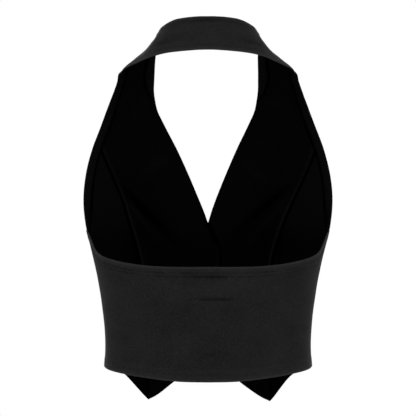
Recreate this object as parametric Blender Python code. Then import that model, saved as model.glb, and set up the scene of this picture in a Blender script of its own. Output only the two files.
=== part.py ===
"""Halter neck top: a plain cropped top cut like a waistcoat, filled out as it is worn.

Metres, +Z up. The fronts face -Y and the wearer's left is +X. The origin is the middle of the neck ring,
at the neckband's mid height behind the neck.

Every cloth piece is cut from one of two surfaces. The front surface runs up from the hem, over the bust and
the shoulder, and on round the back of the neck as the neckband. The back surface is the plain back panel.
A place on a surface is given by its run, the millimetres of cloth up from the hem, and by its turn, which
is 0 at centre front, the neckline or centre back, and 1 at the side seam or armhole. Tables are in
millimetres, for the wearer's left. The right half is its mirror image.
"""

import math

import bmesh
import bpy
import numpy as np
from mathutils import Vector

MM = 0.001

# Cloth and making, in millimetres.
CLOTH = 1.5  # a panel's wall: the cloth and what it is faced with
FACING_CLOTH = 0.9  # one turned layer
SEAM_GAP = 0.3  # between neighbouring pieces
FACING_GAP = 0.6  # under a strip that lies inside a panel
LAP_STEP = 1.1  # how far each front leaves the surface where the fronts lap
LAP_REACH = (14.0, 44.0)  # from centre front: the step is whole up to the first, and gone at the second
ARMHOLE_FACING = 10.4
BUTTON_RADIUS = 7.5
BUTTON_THICK = 2.6
BUTTON_EDGE = 0.7  # the bevel round its rims
BUTTON_SIDES = 32
BUTTON_RUNS = {"button_top": 146.0, "button_middle": 96.0, "button_bottom": 46.0}

# Places up the cloth.
EDGE_BENDS = 150.0  # the front edge leaves its straight line for the neckline
UNDERARM = 177.0
NECK_POINT = 184.0
SIDE_TOP = 288.0  # the side piece's narrow tip
SEAM_TOP = 291.0  # the princess seam meets the armhole
FACED_FROM = 334.0
FACED_WHOLE = 350.0
SHOULDER = 404.0
CENTRE_BACK_NECK = 526.0

# How finely each piece is cut: points across it, and rows between the places it runs through.
CENTRE_GRID = (13, (10, 2, 9, 3, 2, 9))
SIDE_GRID = (9, (9, 1, 9))
ARMHOLE_FACING_GRID = (3, (1, 9, 3, 2, 9))
NECK_FACING_GRID = (3, (2, 9))
NECKBAND_GRID = (6, 15)  # for one half
BACK_GRID = (19, (9,))  # for one half
LENGTH_SAMPLES = 240  # steps along which a length of cloth is measured
LAPPED_TURN = -0.3  # a lapped front reaches past centre front by less than this
HALVINGS = 40  # of the turns between which a place is looked for

# The side seam, then the armhole, then the neckband's outer edge to just past centre back.
OUTER_EDGE = (
    # run,    x,     y,      z
    (-39.0, 129.0, 0.0, -452.0),
    (8.0, 126.9, 0.0, -405.0),
    (33.0, 125.3, 0.0, -380.0),
    (53.0, 125.8, 0.0, -360.0),
    (92.0, 129.9, 0.0, -321.0),
    (130.8, 136.9, 0.0, -282.2),
    (164.0, 144.9, 0.0, -249.0),
    (177.0, 148.0, 0.0, -236.0),
    (199.0, 154.1, -46.0, -214.1),
    (219.0, 156.0, -68.0, -193.8),
    (249.0, 153.0, -77.0, -163.4),
    (279.0, 144.8, -71.0, -133.5),
    (309.0, 132.8, -60.0, -104.0),
    (335.0, 123.4, -46.0, -80.8),
    (364.0, 117.2, -34.0, -67.0),
    (384.0, 111.8, -21.5, -53.5),
    (404.0, 108.4, -5.0, -43.2),
    (428.4, 91.5, 16.0, -34.8),
    (452.8, 74.9, 36.5, -29.1),
    (477.2, 53.8, 56.0, -24.3),
    (501.6, 28.0, 67.3, -22.0),
    (526.0, 0.0, 71.0, -20.7),
    (550.4, -28.0, 67.3, -22.0),
)

# The front edge, then the neckline, then the neckband's neck edge to just past centre back. Where x is
# below 0 the front laps past centre front, and y is the depth at centre front.
INNER_EDGE = (
    # run,    x,     y,      z
    (-39.0, -14.0, -97.0, -452.0),
    (8.0, -14.0, -95.0, -405.0),
    (33.0, -14.0, -94.5, -380.0),
    (72.0, -14.0, -97.0, -341.0),
    (111.0, -14.0, -102.5, -302.0),
    (131.0, -14.0, -106.5, -282.0),
    (150.2, -13.2, -110.5, -262.8),
    (169.4, -6.8, -113.5, -243.6),
    (184.0, 0.0, -114.0, -229.0),
    (199.0, 5.5, -113.0, -214.0),
    (219.0, 13.7, -110.0, -194.0),
    (249.0, 26.3, -102.5, -164.0),
    (279.0, 40.1, -92.0, -134.0),
    (309.0, 56.3, -79.0, -102.7),
    (322.0, 63.8, -71.5, -87.1),
    (335.0, 67.1, -64.0, -72.0),
    (364.0, 67.6, -51.0, -46.0),
    (384.0, 66.5, -32.0, -21.5),
    (404.0, 63.9, -6.0, -1.1),
    (428.4, 60.3, 13.3, 4.6),
    (452.8, 52.9, 31.0, 11.0),
    (477.2, 39.2, 45.0, 16.5),
    (501.6, 20.0, 53.0, 18.9),
    (526.0, 0.0, 55.0, 19.6),
    (550.4, -20.0, 53.0, 18.9),
)

# The right strap lies a little nearer to centre front than the left one: by this much, at its neckline.
NECK_LEAN = (
    # run, nearer
    (184.0, 0.0),
    (219.0, 1.8),
    (249.0, 2.3),
    (279.0, 3.1),
    (309.0, 4.3),
    (335.0, 5.4),
    (364.0, 4.5),
    (384.0, 3.4),
    (404.0, 0.0),
    (424.0, 0.0),
)

# How a section crosses from its inner edge to its outer edge. Round 1 is a quarter ring that ends heading
# straight back, and 0 is a straight strip. Square is the ring's power: 1 is an ellipse, less is fuller.
# Cup is the height of the bust on the section, and bow is how far the middle of a strip stands out.
FULLNESS = (
    # run, round, square, cup, bow
    (-39.0, 1.0, 0.85, 0.0, 0.0),
    (33.0, 1.0, 0.85, 0.0, 0.0),
    (72.0, 1.0, 0.8, 1.0, 0.0),
    (111.0, 1.0, 0.7, 6.0, 0.0),
    (150.0, 1.0, 0.66, 19.0, 0.0),
    (184.0, 1.0, 0.85, 29.0, 0.0),
    (209.0, 0.5, 1.0, 28.0, 0.0),
    (234.0, 0.5, 1.0, 20.0, 0.0),
    (264.0, 0.5, 1.0, 9.0, 0.0),
    (299.0, 0.45, 1.0, 2.0, 0.0),
    (335.0, 0.4, 1.0, 0.0, 0.0),
    (364.0, 0.25, 1.0, 0.0, 0.0),
    (404.0, 0.0, 1.0, 0.0, -3.2),
    (452.8, 0.0, 1.0, 0.0, 0.0),
    (526.0, 0.0, 1.0, 0.0, 1.0),
    (550.4, 0.0, 1.0, 0.0, 1.0),
)
CUP_LEAN = 0.9  # below 1 puts the fullest place of the cup nearer to the side
CUP_POINT = 4  # higher draws the cup in to a smaller dome
BOW_PEAK = 6.75  # brings the top of t * (1 - t)**2, a third of the way across, to 1

# The princess seam, from the hem's point up to the armhole.
PRINCESS_SEAM = {
    # run, x
    "left": (
        (-39.0, 75.6),
        (33.0, 76.0),
        (84.0, 78.5),
        (120.0, 83.0),
        (144.0, 88.6),
        (164.0, 94.4),
        (189.0, 102.0),
        (214.0, 110.0),
        (243.0, 120.8),
        (266.0, 129.6),
        (291.0, 139.4),
        (310.0, 147.0),
    ),
    "right": (
        (-39.0, 77.4),
        (33.0, 76.8),
        (84.0, 77.2),
        (120.0, 79.2),
        (144.0, 83.2),
        (164.0, 89.2),
        (189.0, 98.6),
        (214.0, 109.8),
        (243.0, 122.6),
        (266.0, 131.0),
        (291.0, 139.4),
        (310.0, 147.0),
    ),
}

# The hems: share is the way across a piece, and run the height there. A front's hem drops to a point where
# its centre and side pieces meet.
CENTRE_HEM = {
    # share, run
    "left": ((0.0, 26.0), (0.35, 4.5), (0.65, -17.0), (0.92, -33.9), (1.0, -36.8)),
    "right": ((0.0, 23.0), (0.35, 1.5), (0.68, -22.3), (0.9, -35.4), (1.0, -38.9)),
}
SIDE_HEM = {
    "left": ((0.0, -36.8), (0.28, -9.4), (0.5, 0.2), (0.75, 6.2), (1.0, 13.2)),
    "right": ((0.0, -38.9), (0.33, -4.9), (0.55, 3.5), (0.78, 7.5), (1.0, 13.2)),
}

# The back panel's section at each height, and its hem and top edge by share from side seam to centre back.
BACK_DEPTH = (
    # run, y at centre back, square
    (-2.0, 86.1, 0.85),
    (33.0, 84.0, 0.85),
    (92.0, 84.5, 0.83),
    (143.0, 87.5, 0.86),
    (177.0, 89.0, 0.92),
)
BACK_HEM = ((0.0, 13.2), (0.12, 11.3), (0.2, 9.7), (0.3, 8.0), (0.55, 3.6), (0.8, -0.3), (1.0, -0.9))
BACK_TOP = (
    # share, run
    (0.0, 177.0),
    (0.06, 176.6),
    (0.11, 174.6),
    (0.128, 171.5),
    (0.14, 164.5),
    (0.15, 157.5),
    (0.165, 153.0),
    (0.2, 149.0),
    (0.25, 145.7),
    (0.3, 143.5),
    (0.4, 139.9),
    (0.5, 137.2),
    (0.6, 135.4),
    (0.7, 134.5),
    (0.85, 134.1),
    (1.0, 134.3),
)

# The tapered strip inside each strap: its width at each run, up to the shoulder.
NECK_FACING = (
    # run, width
    (334.0, 2.6),
    (342.0, 6.4),
    (350.0, 9.2),
    (356.0, 10.6),
    (363.0, 12.8),
    (371.0, 13.8),
    (384.0, 13.3),
    (404.0, 13.5),
)

BLACK_CLOTH = (0.018, 0.018, 0.019)
BLACK_INSIDE = (0.008, 0.008, 0.009)
BLACK_BUTTON = (0.012, 0.012, 0.013)


def smooth(table, at):
    """The other columns of a table at each place, on smooth curves through its rows."""
    rows = np.array(table, float)
    knots = rows[:, 0]
    values = rows[:, 1:]
    steps = np.diff(knots)[:, None]
    rises = np.diff(values, axis=0) / steps
    middles = (rises[:-1] * steps[1:] + rises[1:] * steps[:-1]) / (steps[:-1] + steps[1:])
    slopes = np.vstack([rises[:1], middles, rises[-1:]])
    at = np.asarray(at, float)
    row = np.clip(np.searchsorted(knots, at, side="right") - 1, 0, len(knots) - 2)
    step = steps[row]
    part = (at - knots[row])[..., None] / step
    return (
        values[row] * (2 * part**3 - 3 * part**2 + 1)
        + slopes[row] * step * (part**3 - 2 * part**2 + part)
        + values[row + 1] * (3 * part**2 - 2 * part**3)
        + slopes[row + 1] * step * (part**3 - part**2)
    )


def ease(value):
    """A smooth step from 0 to 1."""
    value = np.clip(value, 0.0, 1.0)
    return value * value * (3 - 2 * value)


def unit(vectors):
    return vectors / np.maximum(np.linalg.norm(vectors, axis=-1, keepdims=True), 1e-9)


def strip_normal(run):
    """The outward direction of the strap and neckband, taken as a flat strip at each run."""

    def middle(at):
        return (smooth(OUTER_EDGE, at) + smooth(INNER_EDGE, at)) / 2

    across = smooth(OUTER_EDGE, run) - smooth(INNER_EDGE, run)
    return unit(np.cross(across, middle(run + 1.0) - middle(run - 1.0)))


def front_surface(run, turn, lean=0.0):
    """Points of the fronts' and neckband's outer face, as on the wearer's left."""
    run, turn = np.broadcast_arrays(np.asarray(run, float), np.asarray(turn, float))
    inner = smooth(INNER_EDGE, run)
    nearer = smooth(NECK_LEAN, np.clip(run, NECK_POINT, SHOULDER))[..., 0]
    inner[..., 0] = np.maximum(inner[..., 0] - lean * nearer, 0.0)
    outer = smooth(OUTER_EDGE, run)
    rounded, square, cup, bow = np.moveaxis(smooth(FULLNESS, run), -1, 0)
    angle = turn * math.pi / 2
    across = (1 - rounded) * turn + rounded * np.sin(angle)
    back = (1 - rounded) * turn + rounded * (1 - np.abs(np.cos(angle)) ** square)
    points = inner + (outer - inner) * np.stack([across, back, across], axis=-1)
    dome = np.sin(math.pi * np.clip(np.abs(turn), 0, 1) ** CUP_LEAN) ** CUP_POINT
    points[..., 1] -= cup * dome
    bowed = bow * BOW_PEAK * turn * (1 - turn) ** 2
    return points + strip_normal(run) * bowed[..., None]


def right_front_surface(run, turn):
    """The same with the right strap's lean, before it is mirrored."""
    return front_surface(run, turn, 1.0)


FRONT_SURFACES = {"left": front_surface, "right": right_front_surface}


def back_surface(run, turn):
    """Points of the back panel's outer face, for the wearer's left: turn 0 is centre back."""
    run, turn = np.broadcast_arrays(np.asarray(run, float), np.asarray(turn, float))
    side = smooth(OUTER_EDGE, run)
    depth, square = np.moveaxis(smooth(BACK_DEPTH, run), -1, 0)
    angle = turn * math.pi / 2
    across = side[..., 0] * np.sin(angle)
    behind = depth * np.abs(np.cos(angle)) ** square
    return np.stack([across, behind, side[..., 2]], axis=-1)


def outward(surface, run, turn, sign):
    """The unit normals of a surface; sign turns them out of the garment."""
    reach_run = 0.5
    reach_turn = 0.01
    along = surface(run + reach_run, turn) - surface(run - reach_run, turn)
    low = np.maximum(turn - reach_turn, LAPPED_TURN)
    high = np.minimum(turn + reach_turn, 1.0)
    across = surface(run, high) - surface(run, low)
    return unit(np.cross(across, along)) * sign


def turn_at_x(surface, run, x):
    """The turn where a front section reaches x, or 1 where it ends before that."""
    run, x = np.broadcast_arrays(np.asarray(run, float), np.asarray(x, float))
    low = np.full(run.shape, LAPPED_TURN)
    high = np.full(run.shape, 1.0)
    for _ in range(HALVINGS):
        middle = (low + high) / 2
        short = surface(run, middle)[..., 0] < x
        low = np.where(short, middle, low)
        high = np.where(short, high, middle)
    return (low + high) / 2


def lengths_across(surface, run, first, last):
    """Turns from first to last at each run, and the cloth's length from first up to each."""
    shares = np.linspace(0, 1, LENGTH_SAMPLES + 1)
    turns = first[..., None] + (last - first)[..., None] * shares
    points = surface(run[..., None], turns)
    steps = np.linalg.norm(np.diff(points, axis=-2), axis=-1)
    lengths = np.concatenate([np.zeros(run.shape + (1,)), np.cumsum(steps, axis=-1)], axis=-1)
    return turns, lengths


def turns_at_length(turns, lengths, wanted):
    """The turn at a length of cloth across, at each run."""
    found = np.empty(wanted.shape)
    for place in np.ndindex(wanted.shape):
        found[place] = np.interp(wanted[place], lengths[place], turns[place])
    return found


def spread(surface, run, first, last, share):
    """Turns at even shares of the cloth between two turns."""
    run, first, last, share = np.broadcast_arrays(run, first, last, share)
    turns, lengths = lengths_across(surface, run, first, last)
    return turns_at_length(turns, lengths, share * lengths[..., -1])


def rows_between(stations, counts, columns):
    """Rows of runs through stations, each a number or one run for each column."""
    rows = [np.asarray(stations[0], float)]
    for start, end, count in zip(stations, stations[1:], counts):
        for step in range(1, count + 1):
            rows.append(start + (end - start) * step / count)
    return np.array([np.broadcast_to(row, columns) for row in rows])


def lap_step(run, x, side):
    """How far a front stands out of the surface near its lapped edge: the right one lies outside."""
    beside = 1 - ease((np.abs(x) - LAP_REACH[0]) / (LAP_REACH[1] - LAP_REACH[0]))
    below = 1 - ease((run - NECK_POINT) / (LAP_REACH[1] - LAP_REACH[0]))
    return (LAP_STEP if side == "right" else -LAP_STEP) * beside * below


def mirrored(points, side):
    """Points for the wearer's left, or their mirror image for the right."""
    return points * np.array([1.0 if side == "left" else -1.0, 1.0, 1.0])


def material(name, colour, roughness):
    made = bpy.data.materials.new(name)
    made.use_nodes = True
    shader = made.node_tree.nodes["Principled BSDF"]
    shader.inputs["Base Color"].default_value = (*colour, 1.0)
    shader.inputs["Roughness"].default_value = roughness
    shader.inputs["Metallic"].default_value = 0.0
    return made


def place(name, mesh, made_of):
    mesh.materials.append(made_of)
    piece = bpy.data.objects.new(name, mesh)
    bpy.context.scene.collection.objects.link(piece)
    return piece


def wall(name, outer, normals, thickness, made_of):
    """A closed wall of cloth between a grid of outer points and the same points moved in."""
    inner = outer - normals * thickness
    rows, columns = outer.shape[:2]
    shape = bmesh.new()
    layers = [
        [[shape.verts.new(Vector(layer[j, i]) * MM) for i in range(columns)] for j in range(rows)]
        for layer in (outer, inner)
    ]
    for grid in layers:
        for j in range(rows - 1):
            for i in range(columns - 1):
                shape.faces.new((grid[j][i], grid[j][i + 1], grid[j + 1][i + 1], grid[j + 1][i]))
    rim = [(0, i) for i in range(columns)]
    rim += [(j, columns - 1) for j in range(1, rows)]
    rim += [(rows - 1, i) for i in range(columns - 2, -1, -1)]
    rim += [(j, 0) for j in range(rows - 2, 0, -1)]
    for (j0, i0), (j1, i1) in zip(rim, rim[1:] + rim[:1]):
        shape.faces.new((layers[0][j0][i0], layers[0][j1][i1], layers[1][j1][i1], layers[1][j0][i0]))
    bmesh.ops.recalc_face_normals(shape, faces=shape.faces)
    mesh = bpy.data.meshes.new(name)
    shape.to_mesh(mesh)
    shape.free()
    mesh.shade_smooth()
    mesh.set_sharp_from_angle(angle=math.radians(40))
    return place(name, mesh, made_of)


def front_wall(name, side, runs, turns, thickness, sunk, made_of):
    """A wall on one half of the front surface, sunk below the outer face by a distance."""
    surface = FRONT_SURFACES[side]
    points = surface(runs, turns)
    normals = outward(surface, runs, turns, 1.0)
    points = points + normals * (lap_step(runs, points[..., 0], side) - sunk)[..., None]
    return wall(name, mirrored(points, side), mirrored(normals, side), thickness, made_of)


def front_centre(side, made_of):
    surface = FRONT_SURFACES[side]
    columns, counts = CENTRE_GRID
    shares = np.linspace(0, 1, columns)
    hem = smooth(CENTRE_HEM[side], shares)[:, 0]
    top = SHOULDER - SEAM_GAP / 2
    stations = (hem, EDGE_BENDS, NECK_POINT, SEAM_TOP, FACED_FROM, FACED_WHOLE, top)
    runs = rows_between(stations, counts, columns)
    edge = smooth(INNER_EDGE, runs)[..., 0]
    first = np.where(edge < 0, turn_at_x(surface, runs, np.minimum(edge, 0)), 0.0)
    last = turn_at_x(surface, runs, smooth(PRINCESS_SEAM[side], runs)[..., 0] - SEAM_GAP / 2)
    turns = spread(surface, runs, first, last, shares)
    return front_wall(f"front_{side}_centre", side, runs, turns, CLOTH, 0.0, made_of)


def front_side(side, made_of):
    surface = FRONT_SURFACES[side]
    columns, counts = SIDE_GRID
    shares = np.linspace(0, 1, columns)
    hem = smooth(SIDE_HEM[side], shares)[:, 0]
    runs = rows_between((hem, UNDERARM, NECK_POINT, SIDE_TOP), counts, columns)
    first = turn_at_x(surface, runs, smooth(PRINCESS_SEAM[side], runs)[..., 0] + SEAM_GAP / 2)
    turns = spread(surface, runs, first, np.ones(runs.shape), shares)
    return front_wall(f"front_{side}_side", side, runs, turns, CLOTH, 0.0, made_of)


def facing(name, side, places, grid, reach, made_of):
    """A strip that lies inside a front, up to the shoulder.

    reach gives its points' distances from the neckline, from the runs, the shares across the strip and the
    front's whole width there.
    """
    surface = FRONT_SURFACES[side]
    columns, counts = grid
    shares = np.linspace(0, 1, columns)
    runs = rows_between((*places, SHOULDER - SEAM_GAP / 2), counts, columns)
    turns, lengths = lengths_across(surface, runs, np.zeros(runs.shape), np.ones(runs.shape))
    strip = turns_at_length(turns, lengths, reach(runs, shares, lengths[..., -1]))
    return front_wall(name, side, runs, strip, FACING_CLOTH, CLOTH + FACING_GAP, made_of)


def armhole_facing(side, made_of):
    def reach(runs, shares, width):
        return width - SEAM_GAP - ARMHOLE_FACING * (1 - shares)

    places = (UNDERARM, NECK_POINT, SEAM_TOP, FACED_FROM, FACED_WHOLE)
    return facing(f"armhole_facing_{side}", side, places, ARMHOLE_FACING_GRID, reach, made_of)


def neck_facing(side, made_of):
    def reach(runs, shares, width):
        return SEAM_GAP + smooth(NECK_FACING, runs)[..., 0] * shares

    places = (FACED_FROM, FACED_WHOLE)
    return facing(f"neck_facing_{side}", side, places, NECK_FACING_GRID, reach, made_of)


def neckband(made_of):
    """From shoulder seam to shoulder seam, as the left half and its mirror image."""
    columns, rows = NECKBAND_GRID
    half = np.linspace(SHOULDER + SEAM_GAP / 2, CENTRE_BACK_NECK, rows)[:, None]
    turns = np.linspace(0, 1, columns)[None, :]
    points = front_surface(half, turns)
    half, turns = np.broadcast_arrays(half, turns)
    normals = outward(front_surface, half, turns, 1.0)
    whole = np.concatenate([points, mirrored(points, "right")[-2::-1]])
    whole_normals = np.concatenate([normals, mirrored(normals, "right")[-2::-1]])
    return wall("neckband", whole, whole_normals, CLOTH, made_of)


def back_panel(made_of):
    """From side seam to side seam, as the left half and its mirror image."""
    columns, counts = BACK_GRID
    shares = np.linspace(0, 1, columns)
    low = smooth(BACK_HEM, shares)[:, 0]
    high = smooth(BACK_TOP, shares)[:, 0]
    runs = rows_between((low, high), counts, columns)
    turns = spread(back_surface, runs, np.ones(runs.shape), np.zeros(runs.shape), shares)
    points = back_surface(runs, turns)
    points[..., 1] += SEAM_GAP
    normals = outward(back_surface, runs, turns, -1.0)
    whole = np.concatenate([points, mirrored(points, "right")[:, -2::-1]], axis=1)
    whole_normals = np.concatenate([normals, mirrored(normals, "right")[:, -2::-1]], axis=1)
    return wall("back_panel", whole, whole_normals, CLOTH, made_of)


def button(name, run, made_of):
    """A plain round button that lies on the right front at centre front."""
    here = np.array([run])
    point = front_surface(here, np.zeros(1))[0]
    normal = outward(front_surface, here, np.zeros(1), 1.0)[0]
    middle = point + normal * (LAP_STEP + SEAM_GAP + BUTTON_THICK / 2)
    shape = bmesh.new()
    radius = BUTTON_RADIUS * MM
    bmesh.ops.create_cone(
        shape, cap_ends=True, segments=BUTTON_SIDES, radius1=radius, radius2=radius, depth=BUTTON_THICK * MM
    )
    rims = [edge for edge in shape.edges if edge.verts[0].co.z * edge.verts[1].co.z > 0]
    bmesh.ops.bevel(shape, geom=rims, offset=BUTTON_EDGE * MM, segments=2, affect="EDGES")
    mesh = bpy.data.meshes.new(name)
    shape.to_mesh(mesh)
    shape.free()
    piece = place(name, mesh, made_of)
    piece.location = Vector(middle) * MM
    piece.rotation_euler = Vector(normal).to_track_quat("Z", "Y").to_euler()
    return piece


def main():
    for old in list(bpy.data.objects):
        bpy.data.objects.remove(old)
    cloth = material("black_cloth", BLACK_CLOTH, 0.9)
    inside = material("black_inside", BLACK_INSIDE, 0.95)
    plastic = material("black_button", BLACK_BUTTON, 0.35)
    back_panel(cloth)
    neckband(cloth)
    for side in ("left", "right"):
        front_centre(side, cloth)
        front_side(side, cloth)
        armhole_facing(side, inside)
        neck_facing(side, inside)
    for name, run in BUTTON_RUNS.items():
        button(name, run, plastic)


main()
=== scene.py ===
"""The looks of the halter neck top: its cloth, sewing and buttons, on a pale floor in soft light.

The form is the same as the solids': every cloth piece lies on the front surface or the back surface, and a
place on them is given by its run, the millimetres of cloth up from the hem, and by its turn, from centre
front, the neckline or centre back at 0 to the side seam or armhole at 1. Tables are in millimetres, for the
wearer's left, and the right half is its mirror image. Here each piece is a thin shell on a finer grid, with
its creases, turned edges, seams and stitches.
"""

import math
from types import SimpleNamespace

import bmesh
import bpy
import numpy as np
from mathutils import Matrix, Vector


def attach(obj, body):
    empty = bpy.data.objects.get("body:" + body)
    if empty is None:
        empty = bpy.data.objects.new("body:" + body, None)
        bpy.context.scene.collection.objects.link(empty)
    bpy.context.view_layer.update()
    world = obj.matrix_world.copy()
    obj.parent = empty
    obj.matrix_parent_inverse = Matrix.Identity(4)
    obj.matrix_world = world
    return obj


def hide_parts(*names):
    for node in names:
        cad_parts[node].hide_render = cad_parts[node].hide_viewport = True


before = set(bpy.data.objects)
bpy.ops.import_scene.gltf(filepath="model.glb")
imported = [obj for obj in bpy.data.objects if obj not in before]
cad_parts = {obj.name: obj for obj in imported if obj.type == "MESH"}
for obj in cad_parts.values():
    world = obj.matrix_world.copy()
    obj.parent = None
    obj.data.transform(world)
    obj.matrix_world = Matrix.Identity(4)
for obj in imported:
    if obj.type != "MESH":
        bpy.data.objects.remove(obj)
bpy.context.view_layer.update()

MM = 0.001

# Cloth and making, in millimetres.
CLOTH = 1.5
FACING_CLOTH = 0.9
FACING_GAP = 0.3
SEAM_GAP = 0.3
LAP_STEP = 1.1  # how far each front leaves the surface where the fronts lap
LAP_REACH = (14.0, 44.0)  # from centre front: the step is whole up to the first, and gone at the second
ARMHOLE_FACING = 10.4

# Buttons and buttonholes, in millimetres.
BUTTON_RUNS = {"button_top": 146.0, "button_middle": 96.0, "button_bottom": 46.0}
BUTTON_RADIUS = 7.5
BUTTON_THICK = 2.6
BUTTON_RIM = 1.5
BUTTON_SLOPE = 0.9  # from the rim's top down to the dished middle
BUTTON_DISH = 0.6  # how deep the middle lies
BUTTON_ROUNDING = 0.4
BUTTON_SIDES = 64
HOLE_SIDES = 16
HOLE_PLACE = 1.2  # from a button's middle, across and up
HOLE_RADIUS = 0.75
STRANDS = (-0.4, 0.0, 0.4)  # the threads side by side between two holes
STRAND_ENDS = (0.1, 0.15)  # how far they reach past the holes' middles, and below the dish
BUTTON_THREAD = (0.26, 0.8)  # its radius, and how far it arches
SLIT_START = -3.0  # of a buttonhole, from centre front
SLIT_END = 13.5
BAR_STEP = 0.55  # between the close stitches round it
BAR_GAP = 0.1  # from the last of them to the two across its far end
BAR_STITCH = (0.3, 1.7)  # from the slit's middle: where a stitch begins and ends
BAR_END = 1.9  # half the length of the two across
BAR_THREAD = (0.3, 0.2)  # its radius, and how far it arches

# Places up the cloth.
EDGE_BENDS = 150.0  # where the front edge leaves its straight line for the neckline
UNDERARM = 177.0
NECK_POINT = 184.0  # the foot of the V
SEAM_TOP = 291.3  # where the princess seam runs out at the armhole
FACED_FROM = 334.0  # the lower tip of the facing at the neckline
FACED_WHOLE = 350.0  # where that facing is well widened
SHOULDER = 404.0
CENTRE_BACK_NECK = 526.0

# The side seam, then the armhole, then the neckband's outer edge to just past centre back.
OUTER_EDGE = (
    # run,    x,     y,      z
    (-39.0, 129.0, 0.0, -452.0),
    (8.0, 126.9, 0.0, -405.0),
    (33.0, 125.3, 0.0, -380.0),
    (53.0, 125.8, 0.0, -360.0),
    (92.0, 129.9, 0.0, -321.0),
    (130.8, 136.9, 0.0, -282.2),
    (164.0, 144.9, 0.0, -249.0),
    (177.0, 148.0, 0.0, -236.0),
    (199.0, 154.1, -46.0, -214.1),
    (219.0, 156.0, -68.0, -193.8),
    (249.0, 153.0, -77.0, -163.4),
    (279.0, 144.8, -71.0, -133.5),
    (309.0, 132.8, -60.0, -104.0),
    (335.0, 123.4, -46.0, -80.8),
    (364.0, 117.2, -34.0, -67.0),
    (384.0, 111.8, -21.5, -53.5),
    (404.0, 108.4, -5.0, -43.2),
    (428.4, 91.5, 16.0, -34.8),
    (452.8, 74.9, 36.5, -29.1),
    (477.2, 53.8, 56.0, -24.3),
    (501.6, 28.0, 67.3, -22.0),
    (526.0, 0.0, 71.0, -20.7),
    (550.4, -28.0, 67.3, -22.0),
)

# The front edge, then the neckline, then the neckband's neck edge to just past centre back. Where x is
# below 0 the front laps past centre front, and y is the depth at centre front.
INNER_EDGE = (
    # run,    x,     y,      z
    (-39.0, -14.0, -97.0, -452.0),
    (8.0, -14.0, -95.0, -405.0),
    (33.0, -14.0, -94.5, -380.0),
    (72.0, -14.0, -97.0, -341.0),
    (111.0, -14.0, -102.5, -302.0),
    (131.0, -14.0, -106.5, -282.0),
    (150.2, -13.2, -110.5, -262.8),
    (169.4, -6.8, -113.5, -243.6),
    (184.0, 0.0, -114.0, -229.0),
    (199.0, 5.5, -113.0, -214.0),
    (219.0, 13.7, -110.0, -194.0),
    (249.0, 26.3, -102.5, -164.0),
    (279.0, 40.1, -92.0, -134.0),
    (309.0, 56.3, -79.0, -102.7),
    (322.0, 63.8, -71.5, -87.1),
    (335.0, 67.1, -64.0, -72.0),
    (364.0, 67.6, -51.0, -46.0),
    (384.0, 66.5, -32.0, -21.5),
    (404.0, 63.9, -6.0, -1.1),
    (428.4, 60.3, 13.3, 4.6),
    (452.8, 52.9, 31.0, 11.0),
    (477.2, 39.2, 45.0, 16.5),
    (501.6, 20.0, 53.0, 18.9),
    (526.0, 0.0, 55.0, 19.6),
    (550.4, -20.0, 53.0, 18.9),
)

# The right strap lies a little nearer to centre front than the left one: by this much, at its neckline.
NECK_LEAN = (
    # run, nearer
    (184.0, 0.0),
    (219.0, 1.8),
    (249.0, 2.3),
    (279.0, 3.1),
    (309.0, 4.3),
    (335.0, 5.4),
    (364.0, 4.5),
    (384.0, 3.4),
    (404.0, 0.0),
    (424.0, 0.0),
)

# How a section crosses from its inner edge to its outer edge. Round 1 is a quarter ring that ends heading
# straight back, and 0 is a straight strip. Square is the ring's power: 1 is an ellipse, less is fuller.
# Cup is the height of the bust on the section, and bow is how far the middle of a strip stands out.
FULLNESS = (
    # run, round, square, cup, bow
    (-39.0, 1.0, 0.85, 0.0, 0.0),
    (33.0, 1.0, 0.85, 0.0, 0.0),
    (72.0, 1.0, 0.8, 1.0, 0.0),
    (111.0, 1.0, 0.7, 6.0, 0.0),
    (150.0, 1.0, 0.66, 19.0, 0.0),
    (184.0, 1.0, 0.85, 29.0, 0.0),
    (209.0, 0.5, 1.0, 28.0, 0.0),
    (234.0, 0.5, 1.0, 20.0, 0.0),
    (264.0, 0.5, 1.0, 9.0, 0.0),
    (299.0, 0.45, 1.0, 2.0, 0.0),
    (335.0, 0.4, 1.0, 0.0, 0.0),
    (364.0, 0.25, 1.0, 0.0, 0.0),
    (404.0, 0.0, 1.0, 0.0, -3.2),
    (452.8, 0.0, 1.0, 0.0, 0.0),
    (526.0, 0.0, 1.0, 0.0, 1.0),
    (550.4, 0.0, 1.0, 0.0, 1.0),
)
CUP_LEAN = 0.9  # below 1 puts the fullest place of the cup nearer to the side
CUP_POINT = 4  # higher draws the cup in to a smaller dome
BOW_PEAK = 6.75  # brings the top of t * (1 - t)**2, a third of the way across, to 1

# The princess seam, from the hem's point up to the armhole.
PRINCESS_SEAM = {
    # run, x
    "left": (
        (-39.0, 75.6),
        (33.0, 76.0),
        (84.0, 78.5),
        (120.0, 83.0),
        (144.0, 88.6),
        (164.0, 94.4),
        (189.0, 102.0),
        (214.0, 110.0),
        (243.0, 120.8),
        (266.0, 129.6),
        (291.0, 139.4),
        (310.0, 147.0),
    ),
    "right": (
        (-39.0, 78.5),
        (33.0, 76.8),
        (84.0, 77.2),
        (120.0, 79.2),
        (144.0, 83.2),
        (164.0, 89.2),
        (189.0, 98.6),
        (214.0, 109.8),
        (243.0, 122.6),
        (266.0, 131.0),
        (291.0, 139.4),
        (310.0, 147.0),
    ),
}

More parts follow.
